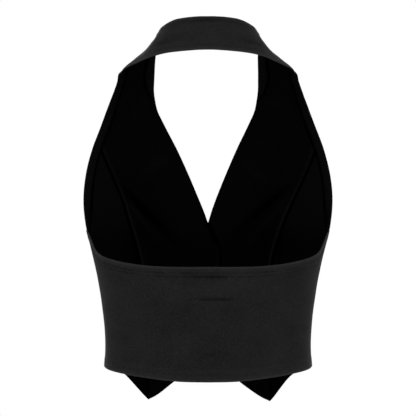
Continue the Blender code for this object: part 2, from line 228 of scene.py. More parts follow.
# The hems: share is the way across a piece, and run the height there.
CENTRE_HEM = {
    # share, run
    "left": ((0.0, 26.0), (0.35, 4.5), (0.65, -17.0), (0.92, -33.9), (1.0, -36.8)),
    "right": ((0.0, 23.0), (0.35, 1.1), (0.68, -22.8), (0.9, -35.4), (1.0, -38.9)),
}
SIDE_HEM = {
    "left": ((0.0, -36.8), (0.3, -7.3), (0.37, -1.8), (0.5, 2.4), (0.75, 7.0), (1.0, 13.2)),
    "right": ((0.0, -38.9), (0.33, -4.9), (0.55, 3.5), (0.78, 7.5), (1.0, 13.2)),
}

# The back panel's section at each height, and its hem and top edge by share from side seam to centre back.
BACK_DEPTH = (
    # run, y at centre back, square
    (-2.0, 86.1, 0.85),
    (33.0, 84.0, 0.85),
    (92.0, 84.5, 0.83),
    (143.0, 87.5, 0.86),
    (177.0, 89.0, 0.92),
)
BACK_HEM = ((0.0, 13.2), (0.12, 11.3), (0.2, 9.7), (0.3, 8.0), (0.55, 3.6), (0.8, -0.3), (1.0, -0.9))
BACK_TOP = (
    # share, run
    (0.0, 177.0),
    (0.04, 176.5),
    (0.08, 174.9),
    (0.105, 172.0),
    (0.125, 167.0),
    (0.145, 160.0),
    (0.165, 154.4),
    (0.19, 150.6),
    (0.22, 147.9),
    (0.25, 145.9),
    (0.3, 143.5),
    (0.4, 139.9),
    (0.5, 137.2),
    (0.6, 135.4),
    (0.7, 134.5),
    (0.85, 134.1),
    (1.0, 134.3),
)

# The tapered strip inside each strap: its width at each run, up to the shoulder.
NECK_FACING = (
    # run, width
    (334.0, 2.6),
    (342.0, 6.4),
    (350.0, 9.2),
    (356.0, 10.6),
    (363.0, 12.8),
    (371.0, 13.8),
    (384.0, 13.3),
    (404.0, 13.5),
)

# Grid spacing, in millimetres of cloth.
FINE = 1.0  # near an edge, where the cloth is turned and sewn
COARSE = 2.2
FINE_BAND = 14.0
LENGTH_SAMPLES = 48
LAPPED_TURN = -0.3  # a lapped front reaches past centre front by less than this
HALVINGS = 32  # of the turns between which a place is looked for
CENTRE_WIDTH = 100.0  # typical widths, which set how many columns a piece has
SIDE_WIDTH = 66.0
BAND_WIDTH = 46.0
BACK_WIDTH = 215.0
BACK_HEIGHT = 140.0
BACK_FINE_BAND = 16.0
BAND_ROWS = 64  # of half the neckband
ARMHOLE_POINTS = 120
PAST_UNDERARM = 15.0  # how far the armhole's edge is drawn on past the side seam

# Sewing, in millimetres.
EDGE_STITCH = 6.0  # from a front's edges and the neckband's
ARMHOLE_STITCH = 8.0
CASING = 11.0  # the back panel's turned top edge
CASING_STITCHES = (7.0, 10.6)
HEM_STITCHES = (7.0, 9.6)  # from the back panel's hem
EDGE_FOLD = (7.0, 0.2)  # how wide an edge is turned under, and how far that raises the cloth
ARMHOLE_FOLD = (9.0, 0.15)
CASING_FOLD = (CASING, 0.4)
HEM_FOLD = (10.0, 0.3)
SEAM_ALLOWANCE = 9.0
SEAM_DIP = (0.8, 1.8)  # how deep the cloth dips at a seam, and half the breadth of the dip
STITCH = 3.1  # from one stitch to the next
STITCH_LENGTH = 2.5
STITCH_RISE = 0.28  # how far a stitch arches out of the cloth
STITCH_SINK = 0.12  # how deep its tips lie in it
STITCH_DIP = (0.3, 0.75)  # how deep a row draws the cloth in, and half the breadth of that
PUCKERS = (0.1, 3.5)  # how high the cloth puckers beside a row, and how far from it
PUCKER_WAVE = (8.3, 1.4, 37.0)  # their length, how far it wanders, and along what length
TENSION_WAVE = (61.0, 2.0, 143.0)  # the same for how tightly the row is sewn
THREAD_RADIUS = 0.24
THREAD_SIDES = 5
TURNED_EDGE = 0.45  # how far a folded edge rounds out
SEAMED_EDGE = 0.25  # how far a seamed edge does, to meet its neighbour
TUCKED_TIP = 1.2  # how far the side piece's narrow tip reaches in beside its neighbour
RIM_STEPS = ((35, 0), (90, 0), (145, 1))  # degrees round a rim, and whose tone it has: outer 0, inner 1

# Painted light and shade on the cloth: how much paler it is in places, or darker where it is below 0, from
# -1 to 1.
ROLL_TONE = 0.42  # a painted highlight on the roll of a turned edge
ROLL_WIDTH = (2.0, 1.0)  # how wide it is, and how softly it ends
SEAM_TONE = (-0.28, 1.4)  # painted shade on a seam's line, and half its breadth
STITCH_TONES = (-0.34, -0.12, -0.2)  # painted shade on a sewn row, and how it varies with its puckers and its tension
CREASE_TONES = (0.22, -0.26)  # painted light and shade for each millimetre of a crease's height, on the outer and the inner face
FACED_TONE = -0.6  # in a facing's shade, along its free edge

CREASE_LEAN = 0.65  # below 1 puts a crease's deepest place nearer to its first end
CREASE_FADE = 1.2  # higher draws its ends out longer
CREASE_SWELL = 0.5  # how much the cloth swells the other way on both of its sides

# Creases of the fronts, as ridges (height above 0) or troughs (below 0) between two places on the cloth.
# Bend carries the middle of the crease sideways, width is half its breadth.
FRONT_CREASES = {
    # x0, run0, x1, run1, bend, width, height
    "left": (
        (112.0, 236.0, 22.0, 146.0, 4.0, 6.5, 1.9),
        (104.0, 214.0, 40.0, 146.0, 5.0, 6.0, -1.1),
        (112.0, 122.0, 70.0, 96.0, -4.0, 6.0, -0.9),
        (120.0, 88.0, 62.0, 72.0, 3.0, 7.0, -0.8),
        (18.0, 92.0, 66.0, 70.0, 4.0, 5.0, -0.6),
        (16.0, 140.0, 58.0, 120.0, -3.0, 5.0, -0.5),
        (46.0, 270.0, 96.0, 228.0, 5.0, 8.0, -0.7),
        (72.0, 346.0, 104.0, 312.0, -3.0, 7.0, -0.6),
    ),
    "right": (
        (108.0, 234.0, 28.0, 162.0, -3.0, 6.0, 1.7),
        (102.0, 208.0, 44.0, 150.0, -3.0, 6.0, -1.0),
        (114.0, 134.0, 78.0, 104.0, 3.0, 6.0, -0.8),
        (121.0, 80.0, 70.0, 66.0, -4.0, 6.5, -0.9),
        (18.0, 48.0, 60.0, 36.0, 3.0, 5.0, -0.5),
        (17.0, 95.0, 72.0, 84.0, -4.0, 5.5, -0.7),
        (44.0, 262.0, 92.0, 232.0, -4.0, 7.0, -0.6),
        (70.0, 336.0, 110.0, 320.0, 3.0, 7.0, -0.5),
    ),
}
# The same for the back panel, where x runs from the wearer's right to the left.
BACK_CREASES = (
    # x0, run0, x1, run1, bend, width, height
    (-32.0, 96.0, 28.0, 95.8, 0.6, 1.9, -2.0),
    (-24.0, 122.4, 22.0, 122.6, 0.4, 1.7, -1.4),
    (-44.0, 109.0, 42.0, 109.0, 0.0, 9.0, 0.5),
    (-60.0, 123.0, -34.0, 122.3, 0.3, 1.6, -0.4),
    (33.0, 122.3, 58.0, 123.0, 0.3, 1.6, -0.4),
    (-118.0, 128.0, -70.0, 112.0, 3.0, 7.0, -0.5),
    (122.0, 124.0, 76.0, 104.0, -3.0, 6.0, -0.4),
    (-120.0, 60.0, -84.0, 52.0, 2.0, 7.0, -0.5),
    (121.0, 52.0, 80.0, 40.0, -2.0, 7.0, -0.5),
    (-30.0, 30.0, 14.0, 27.0, 1.0, 6.0, -0.3),
)
NECKBAND_CREASES = (
    # x0, run0, x1, run1, bend, width, height
    (-92.0, 430.0, -44.0, 470.0, 2.0, 5.0, -0.5),
    (90.0, 432.0, 48.0, 468.0, -2.0, 5.0, -0.4),
)
# The soft bends of the cloth where it turns over the shoulder, by distance from its neck edge.
SHOULDER_BENDS = (
    # distance, half its breadth, height
    (4.0, 4.0, -1.4),
    (11.0, 3.5, 0.4),
    (24.0, 5.0, -1.4),
    (47.0, 4.0, 0.4),
    (61.0, 4.0, -1.8),
)
SHOULDER_BEND_LENGTH = 14.0  # half their length along the strap and neckband

# The slight unevenness of the cloth: how many waves, between which lengths, and each piece's random seed.
UNEVEN_WAVES = 10
UNEVEN_LENGTHS = (18.0, 60.0)
SEEDS = {"left": 3, "right": 8, "neckband": 31, "back_panel": 12, "facing": 90}

# The grain of crepe, in millimetres.
FINE_GRAIN = 0.8
COARSE_GRAIN = 1.7
GRAIN_STRETCH = (1.0, 1.0, 0.8)  # below 1 draws it out up the cloth
MOTTLE = 34.0
MOTTLE_SHARE = 0.35
GRAIN_RANGE = (0.82, 1.52)  # nearly all of the summed grain and mottle lies between these
TONE_SHARE = 0.6  # how far a tone of 1 takes the cloth from its plain shade to its light one

# Studio: places and sizes in metres.
CAMERA_DISTANCE = 2.4
CAMERA_HEIGHT = -0.209
PICTURE_WIDTH = 416 * 1.22  # the width in view at the origin's depth, in millimetres
FILL = 0.25  # the light that the wall gives, where what is seen of it is 1
FLOOR_SIZE = 4.4
FLOOR_HEIGHT = -0.75
LAMP_AIM = (0.0, 0.0, -0.22)
LAMPS = (
    # name, place, size, watts
    ("behind_left", (2.35, 1.45, 0.3), 1.3, 44.0),
    ("behind_right", (-2.35, 1.45, 0.3), 1.3, 44.0),
    ("front_left", (1.1, -2.5, 0.7), 1.2, 42.0),
    ("front_right", (-1.1, -2.5, 0.5), 1.2, 32.0),
    ("overhead", (0.0, 0.9, 2.3), 1.6, 16.0),
)


# ---- the form ----


def smooth(table, at):
    """The other columns of a table at each place, on smooth curves through its rows."""
    rows = np.array(table, float)
    knots = rows[:, 0]
    values = rows[:, 1:]
    steps = np.diff(knots)[:, None]
    between = np.diff(values, axis=0) / steps
    middles = (between[:-1] * steps[1:] + between[1:] * steps[:-1]) / (steps[:-1] + steps[1:])
    slopes = np.vstack([between[:1], middles, between[-1:]])
    at = np.asarray(at, float)
    row = np.clip(np.searchsorted(knots, at, side="right") - 1, 0, len(knots) - 2)
    step = steps[row]
    part = (at - knots[row])[..., None] / step
    return (
        values[row] * (2 * part**3 - 3 * part**2 + 1)
        + slopes[row] * step * (part**3 - 2 * part**2 + part)
        + values[row + 1] * (3 * part**2 - 2 * part**3)
        + slopes[row + 1] * step * (part**3 - part**2)
    )


def rises(at, start, length):
    """0 up to a place and 1 past it by a length, with a smooth step between."""
    share = np.clip((at - start) / length, 0.0, 1.0)
    return share * share * (3 - 2 * share)


def unit(vectors):
    """The same directions at a length of 1."""
    return vectors / np.maximum(np.linalg.norm(vectors, axis=-1, keepdims=True), 1e-9)


def strip_normal(run):
    """The outward direction of the strap and neckband, taken as a flat strip at each run."""

    def middle(at):
        return (smooth(OUTER_EDGE, at) + smooth(INNER_EDGE, at)) / 2

    across = smooth(OUTER_EDGE, run) - smooth(INNER_EDGE, run)
    return unit(np.cross(across, middle(run + 1.0) - middle(run - 1.0)))


def front_surface(run, turn, lean=0.0):
    """Points of the fronts' and neckband's outer face, as on the wearer's left."""
    run, turn = np.broadcast_arrays(np.asarray(run, float), np.asarray(turn, float))
    inner = smooth(INNER_EDGE, run)
    nearer = smooth(NECK_LEAN, np.clip(run, NECK_POINT, SHOULDER))[..., 0]
    inner[..., 0] = np.maximum(inner[..., 0] - lean * nearer, 0.0)
    outer = smooth(OUTER_EDGE, run)
    rounded, square, cup, bow = np.moveaxis(smooth(FULLNESS, run), -1, 0)
    angle = turn * math.pi / 2
    across = (1 - rounded) * turn + rounded * np.sin(angle)
    back = (1 - rounded) * turn + rounded * (1 - np.abs(np.cos(angle)) ** square)
    points = inner + (outer - inner) * np.stack([across, back, across], axis=-1)
    dome = np.sin(math.pi * np.clip(np.abs(turn), 0, 1) ** CUP_LEAN) ** CUP_POINT
    points[..., 1] -= cup * dome
    bowed = bow * BOW_PEAK * turn * (1 - turn) ** 2
    return points + strip_normal(run) * bowed[..., None]


def right_front_surface(run, turn):
    """The same with the right strap's lean, before it is mirrored."""
    return front_surface(run, turn, 1.0)


FRONT_SURFACES = {"left": front_surface, "right": right_front_surface}


def back_surface(run, turn):
    """Points of the back panel's outer face, for the wearer's left: turn 0 is centre back."""
    run, turn = np.broadcast_arrays(np.asarray(run, float), np.asarray(turn, float))
    side = smooth(OUTER_EDGE, run)
    depth, square = np.moveaxis(smooth(BACK_DEPTH, run), -1, 0)
    angle = turn * math.pi / 2
    across = side[..., 0] * np.sin(angle)
    behind = depth * np.abs(np.cos(angle)) ** square
    return np.stack([across, behind, side[..., 2]], axis=-1)


def outward(surface, run, turn, sign):
    """The unit normals of a surface; sign turns them out of the garment."""
    reach_run = 0.5
    reach_turn = 0.01
    along = surface(run + reach_run, turn) - surface(run - reach_run, turn)
    low = np.maximum(turn - reach_turn, LAPPED_TURN)
    high = np.minimum(turn + reach_turn, 1.0)
    across = surface(run, high) - surface(run, low)
    return unit(np.cross(across, along)) * sign


def turn_at_x(surface, run, x):
    """The turn where a front section reaches x, or 1 where it ends before that."""
    run, x = np.broadcast_arrays(np.asarray(run, float), np.asarray(x, float))
    low = np.full(run.shape, LAPPED_TURN)
    high = np.full(run.shape, 1.0)
    for _ in range(HALVINGS):
        middle = (low + high) / 2
        short = surface(run, middle)[..., 0] < x
        low = np.where(short, middle, low)
        high = np.where(short, high, middle)
    return (low + high) / 2


def lengths_across(surface, run, first, last):
    """Turns from first to last at each run, and the cloth's length from first up to each."""
    shares = np.linspace(0, 1, LENGTH_SAMPLES + 1)
    turns = first[..., None] + (last - first)[..., None] * shares
    points = surface(run[..., None], turns)
    steps = np.linalg.norm(np.diff(points, axis=-2), axis=-1)
    lengths = np.concatenate([np.zeros(run.shape + (1,)), np.cumsum(steps, axis=-1)], axis=-1)
    return turns, lengths


def turns_at_length(turns, lengths, wanted):
    """The turn at a length of cloth across, at each run."""
    found = np.empty(wanted.shape)
    for place in np.ndindex(wanted.shape):
        found[place] = np.interp(wanted[place], lengths[place], turns[place])
    return found


def spread(surface, run, first, last, share):
    """Turns at shares of the cloth between two turns."""
    run, first, last, share = np.broadcast_arrays(run, first, last, share)
    turns, lengths = lengths_across(surface, run, first, last)
    return turns_at_length(turns, lengths, share * lengths[..., -1])


def spaced(length, first_band=FINE_BAND, last_band=FINE_BAND):
    """Shares of a length with fine steps in a band at each end and coarse ones between."""
    middle = max(length - first_band - last_band, COARSE)
    steps = [FINE] * int(first_band / FINE)
    steps += [middle / math.ceil(middle / COARSE)] * math.ceil(middle / COARSE)
    steps += [FINE] * int(last_band / FINE)
    places = np.concatenate([[0.0], np.cumsum(steps)])
    return places / places[-1]


def rows_between(stations, columns):
    """Rows of runs through stations; the rows between the first two, at the hem, are fine."""
    rows = [np.asarray(stations[0], float)]
    for place, (start, end) in enumerate(zip(stations, stations[1:])):
        step = FINE if place == 0 else COARSE
        count = math.ceil(float(np.max(np.asarray(end) - start)) / step)
        for k in range(1, count + 1):
            rows.append(start + (end - start) * k / count)
    return np.array([np.broadcast_to(row, columns) for row in rows])


def lap_step(run, x, side):
    """How far a front stands out of the surface near its lapped edge: the right one lies outside."""
    start, end = LAP_REACH
    beside = 1 - rises(np.abs(x), start, end - start)
    below = 1 - rises(run, NECK_POINT, end - start)
    return (LAP_STEP if side == "right" else -LAP_STEP) * beside * below


def mirrored(points, side):
    """Points for the wearer's left, or their mirror image for the right."""
    return points * np.array([1.0 if side == "left" else -1.0, 1.0, 1.0])


def with_mirror(half, axis):
    """A half grid, joined at centre back to its mirror image along an axis of the grid."""
    other = mirrored(half, "right") if half.ndim == 3 else half
    return np.concatenate([half, np.delete(np.flip(other, axis), 0, axis)], axis)


# ---- cloth on the form ----


def distance_to(points, line):
    """Each point's distance from a line of points."""
    best = np.full(points.shape[:-1], np.inf)
    for start, step in zip(line[:-1], np.diff(line, axis=0)):
        part = np.clip((points - start) @ step / max(step @ step, 1e-9), 0, 1)
        best = np.minimum(best, np.linalg.norm(points - start - part[..., None] * step, axis=-1))
    return best


def laid(points, normals, runs, side="left"):
    """A grid of cloth with its lengths along and across, and each point's distance from its four edges.

    relief is how far each place stands out of the form, and tone how much lighter or darker the cloth is
    there, from -1 to 1, on its outer and its inner face: it is painted light and shade, paler on ridges and
    darker in dips and seam lines.
    """
    across = np.linalg.norm(np.diff(points, axis=1), axis=-1)
    along = np.linalg.norm(np.diff(points, axis=0), axis=-1)
    return SimpleNamespace(
        points=mirrored(points, side),
        normals=mirrored(normals, side),
        run=runs,
        x=points[..., 0],
        across=np.pad(np.cumsum(across, axis=1), ((0, 0), (1, 0))),
        along=np.pad(np.cumsum(along, axis=0), ((1, 0), (0, 0))),
        low=distance_to(points, points[0]),
        high=distance_to(points, points[-1]),
        first=distance_to(points, points[:, 0]),
        last=distance_to(points, points[:, -1]),
        relief=np.zeros(runs.shape),
        depth=np.full(runs.shape, CLOTH),
        outer_tone=np.zeros(runs.shape),
        inner_tone=np.zeros(runs.shape),
    )


def bump_at(near, at, half):
    """1 at a distance from an edge, and falling off to both sides of it."""
    return np.exp(-(((near - at) / half) ** 2))


def within(near, width, soft=0.8):
    """1 up to a distance from an edge, and 0 past it."""
    return 1 - rises(near, width - soft, 2 * soft)


def wandering(along, length, swing, swing_length):
    """A wave from -1 to 1 along the cloth, with a length that wanders."""
    return np.sin(2 * math.pi * along / length + swing * np.sin(2 * math.pi * along / swing_length))


def stitch_line(cloth, near, at, along, weight):
    """A row of stitches draws the cloth in, with painted shade along it that is uneven along its length."""
    wave = wandering(along, *PUCKER_WAVE)
    height, reach = PUCKERS
    dip, half = STITCH_DIP
    cloth.relief += height * wave * bump_at(near, at, reach) - dip * bump_at(near, at, half)
    row, puckered, drawn = STITCH_TONES
    tone = row + puckered * wave + drawn * wandering(along, *TENSION_WAVE)
    cloth.outer_tone += weight * tone * bump_at(near, at, 1.0)


def turned_edge(cloth, near, fold):
    """An edge that is turned under: the layers below raise it up to the fold's end, and its roll has a
    painted highlight.
    """
    width, height = fold
    cloth.relief += height * within(near, width)
    cloth.depth += height * within(near, width)
    cloth.outer_tone += ROLL_TONE * within(near, *ROLL_WIDTH)


def topstitched(cloth, near, fold, at, along, weight=0.6):
    """A turned edge with its row of stitches."""
    turned_edge(cloth, near, fold)
    stitch_line(cloth, near, at, along, weight)


def seam(cloth, near, where=1.0):
    """The cloth dips where it is seamed to its neighbour, with painted shade in the dip."""
    dip, half = SEAM_DIP
    cloth.relief -= dip * bump_at(near, 0.0, half) * where
    tone, half = SEAM_TONE
    cloth.outer_tone += tone * bump_at(near, 0.0, half) * where


def crease(cloth, creases):
    """A table of creases: each is a soft line with a slight swell on both of its sides, and painted light
    and shade that follow its height.
    """
    x, run = cloth.x, cloth.run
    for x0, run0, x1, run1, bend, width, height in creases:
        step = np.array([x1 - x0, run1 - run0])
        length = np.linalg.norm(step)
        along = ((x - x0) * step[0] + (run - run0) * step[1]) / length**2
        aside = ((run - run0) * step[0] - (x - x0) * step[1]) / length
        aside = (aside - bend * 4 * along * (1 - along)) / width
        fade = np.sin(math.pi * np.clip(along, 0, 1) ** CREASE_LEAN) ** CREASE_FADE
        shape = height * fade * np.exp(-(aside**2)) * (1 - CREASE_SWELL * aside**2)
        cloth.relief += shape
        cloth.outer_tone += CREASE_TONES[0] * shape
        cloth.inner_tone += CREASE_TONES[1] * shape


def bend_over_shoulder(cloth):
    """The soft bends of the cloth along its length, where it turns over the shoulder."""
    beside = bump_at(cloth.run, SHOULDER, SHOULDER_BEND_LENGTH)
    for at, half, height in SHOULDER_BENDS:
        cloth.relief += height * bump_at(cloth.first, at, half) * beside


def uneven(cloth, piece, height=0.22):
    """A slight unevenness, so that no stretch of cloth is perfectly smooth."""
    waves = np.random.default_rng(SEEDS[piece])
    for _ in range(UNEVEN_WAVES):
        length = waves.uniform(*UNEVEN_LENGTHS)
        heading = waves.uniform(0, math.pi)
        phase = waves.uniform(0, 2 * math.pi)
        place = cloth.x * math.cos(heading) + cloth.run * math.sin(heading)
        swell = height / 3 * length / UNEVEN_LENGTHS[1]
        cloth.relief += swell * np.sin(2 * math.pi * place / length + phase)


# ---- shapes ----


def placed(name, data):
    """A new object in the scene, at the origin."""
    item = bpy.data.objects.new(name, data)
    bpy.context.scene.collection.objects.link(item)
    return item


def rim_places(rows, columns):
    """The rows and the columns of a grid's edge points, once round."""
    rim = [(0, i) for i in range(columns)]
    rim += [(j, columns - 1) for j in range(1, rows)]
    rim += [(rows - 1, i) for i in range(columns - 2, -1, -1)]
    rim += [(j, 0) for j in range(rows - 2, 0, -1)]
    return tuple(np.array(rim).T)


def rounding(outer, edges):
    """How far each edge point of the outer face rounds out, away from the cloth beside it."""
    bulge = np.zeros(outer.shape)
    for edge, place, beside in (
        ("low", np.s_[0, :], np.s_[1, :]),
        ("high", np.s_[-1, :], np.s_[-2, :]),
        ("first", np.s_[:, 0], np.s_[:, 1]),
        ("last", np.s_[:, -1], np.s_[:, -2]),
    ):
        reach = np.broadcast_to(edges[edge], outer[place].shape[:1])
        bulge[place] += unit(outer[place] - outer[beside]) * reach[:, None]
    return bulge


def shell(name, cloth, edges, finishes):
    """A closed shell: the outer face, the inner face below it and a rounded rim.

    edges gives how far the rim rounds out at each edge. finishes are the outer and the inner material.
    """
    cloth.points = cloth.points + cloth.normals * cloth.relief[..., None]
    outer = cloth.points
    inner = outer - cloth.normals * cloth.depth[..., None]
    rows, columns = outer.shape[:2]
    rim = rim_places(rows, columns)
    flat_rim = rim[0] * columns + rim[1]
    bulge = rounding(outer, edges)[rim]
    middle = ((outer + inner) / 2)[rim]
    half = (outer - inner)[rim] / 2
    loops = [flat_rim]
    points = [outer.reshape(-1, 3), inner.reshape(-1, 3)]
    tones = [cloth.outer_tone.ravel(), cloth.inner_tone.ravel()]
    count = 2 * rows * columns
    for degrees, face in RIM_STEPS:
        angle = math.radians(degrees)
        points.append(middle + half * math.cos(angle) + bulge * math.sin(angle))
        tones.append(tones[face][flat_rim])
        loops.append(np.arange(count, count + len(flat_rim)))
        count += len(flat_rim)
    loops.append(flat_rim + rows * columns)

    index = np.arange(rows * columns).reshape(rows, columns)
    quads = np.stack([index[:-1, :-1], index[:-1, 1:], index[1:, 1:], index[1:, :-1]], axis=-1)
    quads = quads.reshape(-1, 4)
    faces = [quads, quads[:, ::-1] + rows * columns]
    inside = [np.zeros(len(quads), np.int32), np.ones(len(quads), np.int32)]
    # Of the rim's four bands, the two by the outer face have its finish, and the others the inner face's.
    for band, (low, high) in enumerate(zip(loops, loops[1:])):
        faces.append(np.stack([low, high, np.roll(high, -1), np.roll(low, -1)], axis=-1))
        inside.append(np.full(len(flat_rim), band // 2, np.int32))
    mesh = bpy.data.meshes.new(f"{name}_cloth")
    mesh.from_pydata((np.concatenate(points) * MM).tolist(), [], np.concatenate(faces).tolist())
    for finish in finishes:
        mesh.materials.append(finish)
    mesh.polygons.foreach_set("material_index", np.concatenate(inside))
    tone = mesh.attributes.new("tone", "FLOAT", "POINT")
    tone.data.foreach_set("value", np.clip(np.concatenate(tones), -1, 1).astype(np.float32))

    shape = bmesh.new()
    shape.from_mesh(mesh)
    bmesh.ops.recalc_face_normals(shape, faces=shape.faces)
    shape.to_mesh(mesh)
    shape.free()
    mesh.shade_smooth()
    return placed(f"{name}_cloth", mesh)


def threads(name, starts, ends, normals, radius, rise, finish):
    """Short threads from starts to ends, each arched out along its normal and closed at its tips."""
    starts, ends, normals = (np.asarray(points, float) for points in (starts, ends, normals))
    shares = np.array([0.0, 0.25, 0.75, 1.0])
    girths = np.array([0.45, 1.0, 1.0, 0.45])
    along = unit(ends - starts)
    beside = unit(np.cross(along, normals))
    up = np.cross(beside, along)
    turns = np.arange(THREAD_SIDES) * 2 * math.pi / THREAD_SIDES
    ring = beside[:, None, :] * np.cos(turns)[:, None] + up[:, None, :] * np.sin(turns)[:, None]
    arch = rise * 4 * shares * (1 - shares)
    centres = starts[:, None] + (ends - starts)[:, None] * shares[:, None]
    centres = centres + normals[:, None] * arch[:, None]
    points = centres[:, :, None] + ring[:, None] * (girths * radius)[:, None, None]
    sides = np.arange(THREAD_SIDES)
    quads = []
    for k in range(len(shares) - 1):
        low, high = k * THREAD_SIDES + sides, (k + 1) * THREAD_SIDES + sides
        quads.append(np.stack([low, np.roll(low, -1), np.roll(high, -1), high], axis=-1))
    quads = np.concatenate(quads)
    tips = [sides[::-1], sides + (len(shares) - 1) * THREAD_SIDES]
    each = len(shares) * THREAD_SIDES
    faces = []
    for k in range(len(starts)):
        faces += (quads + k * each).tolist()
        faces += [(tip + k * each).tolist() for tip in tips]
    mesh = bpy.data.meshes.new(name)
    mesh.from_pydata((points.reshape(-1, 3) * MM).tolist(), [], faces)
    mesh.materials.append(finish)
    mesh.shade_smooth()
    piece = placed(name, mesh)
    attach(piece, "root")
    return piece


def line_inside(cloth, edge, inset, clear_of=(), near=None, inner=False):
    """The line of points at a distance inside an edge, with its normals.

    It stops at the same distance from the edges in clear_of. near names the distances to go by, where they
    aren't the edge's own. inner takes it on the inner face.
    """
    # Each place in the stack holds its point, its normal, its distance and those from the other edges.
    sign = -1.0 if inner else 1.0
    face = cloth.points - cloth.normals * cloth.depth[..., None] if inner else cloth.points
    layers = [face, cloth.normals * sign, getattr(cloth, near or edge)[..., None]]
    layers += [getattr(cloth, other)[..., None] for other in clear_of]
    stack = np.concatenate(layers, axis=-1)
    if edge in ("first", "last"):
        stack = np.swapaxes(stack, 0, 1)
    if edge in ("high", "last"):
        stack = stack[::-1]
    reach = stack[..., 6]
    row = np.argmax(reach >= inset, axis=0)
    column = np.flatnonzero(row > 0)
    row = row[column]
    low, high = reach[row - 1, column], reach[row, column]
    part = ((inset - low) / np.maximum(high - low, 1e-9))[:, None]
    found = stack[row - 1, column] * (1 - part) + stack[row, column] * part
    found = found[np.all(found[:, 7:] >= inset, axis=1)]
    return found[:, :3], unit(found[:, 3:6])


def along_line(places, lengths, values):
    """The values of a line's points, read at lengths along it."""
    return np.stack([np.interp(places, lengths, values[:, k]) for k in range(3)], axis=-1)


def sewn(name, lines, finish):
    """A piece of thread made of even stitches along lines that line_inside gives."""
    starts, ends, normals = [], [], []
    for points, outwards in lines:
        steps = np.linalg.norm(np.diff(points, axis=0), axis=-1)
        lengths = np.concatenate([[0.0], np.cumsum(steps)])
        places = np.arange(0.5 * STITCH, lengths[-1] - STITCH, STITCH)
        starts.append(along_line(places, lengths, points))
        ends.append(along_line(places + STITCH_LENGTH, lengths, points))
        normals.append(along_line(places + STITCH_LENGTH / 2, lengths, outwards))
    starts, ends, normals = np.concatenate(starts), np.concatenate(ends), unit(np.concatenate(normals))
    sunk = normals * STITCH_SINK
    return threads(name, starts - sunk, ends - sunk, normals, THREAD_RADIUS, STITCH_RISE, finish)


def cut_as(piece, node, sewing=()):
    """Puts a cloth piece in place of its solid."""
    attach(piece, "root")
    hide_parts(node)


# ---- finishes ----


def colour(code):
    """A linear colour from its sRGB hex code."""
    parts = [int(code[k : k + 2], 16) / 255 for k in (1, 3, 5)]
    linear = [c / 12.92 if c <= 0.04045 else ((c + 0.055) / 1.055) ** 2.4 for c in parts]
    return (*linear, 1.0)


def add(tree, kind, inputs, **settings):
    """Adds a node: inputs are values or the sockets to link from, by socket name or number."""
    node = tree.nodes.new(kind)
    for name, value in settings.items():
        setattr(node, name, value)
    for name, value in inputs.items():
        if isinstance(value, bpy.types.NodeSocket):
            tree.links.new(value, node.inputs[name])
        else:
            node.inputs[name].default_value = value
    return node


def new_finish(name):
    """A material with an empty node tree, and that tree."""
    finish = bpy.data.materials.new(name)
    finish.use_nodes = True
    tree = finish.node_tree
    tree.nodes.clear()
    return finish, tree


def crepe(name, dark, light, middle, grain_share, sheen, specular):
    """Matt woven crepe: crinkled yarns give a fine irregular grain and a faint bloom at grazing angles.

    dark and light are the ends of the painted shade and painted highlight that the tone attribute gives,
    middle is where plain cloth lies between them, and grain_share how far the grain strays from it. The
    yarns of crepe lie about 0.4 mm apart. The grain is drawn at 0.8 and 1.7 mm, a little longer up the
    cloth, to show from a step away.
    """
    finish, tree = new_finish(name)
    place = add(tree, "ShaderNodeTexCoord", {}).outputs["Object"]
    drawn = add(tree, "ShaderNodeMapping", {"Vector": place, "Scale": GRAIN_STRETCH}).outputs["Vector"]
    layers = []
    for size, vector, detail, roughness in (
        (FINE_GRAIN, drawn, 2.0, 0.6),
        (COARSE_GRAIN, drawn, 3.0, 0.65),
        (MOTTLE, place, 2.0, 0.5),
    ):
        noise = {"Vector": vector, "Scale": 1 / (size * MM), "Detail": detail, "Roughness": roughness}
        layers.append(add(tree, "ShaderNodeTexNoise", noise).outputs["Fac"])
    fine, coarse, cloud = layers
    grain = add(tree, "ShaderNodeMath", {0: fine, 1: coarse}, operation="ADD").outputs[0]
    mottled = {0: cloud, 1: MOTTLE_SHARE, 2: grain}
    mottle = add(tree, "ShaderNodeMath", mottled, operation="MULTIPLY_ADD").outputs[0]
    about_middle = {
        "Value": mottle,
        "From Min": GRAIN_RANGE[0],
        "From Max": GRAIN_RANGE[1],
        "To Min": middle - grain_share,
        "To Max": middle + grain_share,
    }
    plain_cloth = add(tree, "ShaderNodeMapRange", about_middle, clamp=False).outputs["Result"]
    # The tone attribute is painted light and shade: it moves the colour towards dark or light.
    painted_tone = add(tree, "ShaderNodeAttribute", {}, attribute_name="tone").outputs["Fac"]
    toned = {0: painted_tone, 1: TONE_SHARE, 2: plain_cloth}
    tone = add(tree, "ShaderNodeMath", toned, operation="MULTIPLY_ADD", use_clamp=True).outputs[0]
    # A colour Mix has its factor at input 0 and its colours at 6 and 7.
    shades = {0: tone, 6: colour(dark), 7: colour(light)}
    shade = add(tree, "ShaderNodeMix", shades, data_type="RGBA").outputs[2]
    crinkle = {"Height": grain, "Strength": 0.55, "Distance": 0.3 * MM}
    bump = add(tree, "ShaderNodeBump", crinkle).outputs["Normal"]
    look = {
        "Base Color": shade,
        "Normal": bump,
        "Roughness": 0.9,
        "IOR": 1.45,
        "Specular IOR Level": specular,
        "Sheen Weight": sheen,
        "Sheen Roughness": 0.5,
        "Sheen Tint": colour("#c8c8c8"),
    }
    shader = add(tree, "ShaderNodeBsdfPrincipled", look).outputs["BSDF"]
    add(tree, "ShaderNodeOutputMaterial", {"Surface": shader})
    return finish


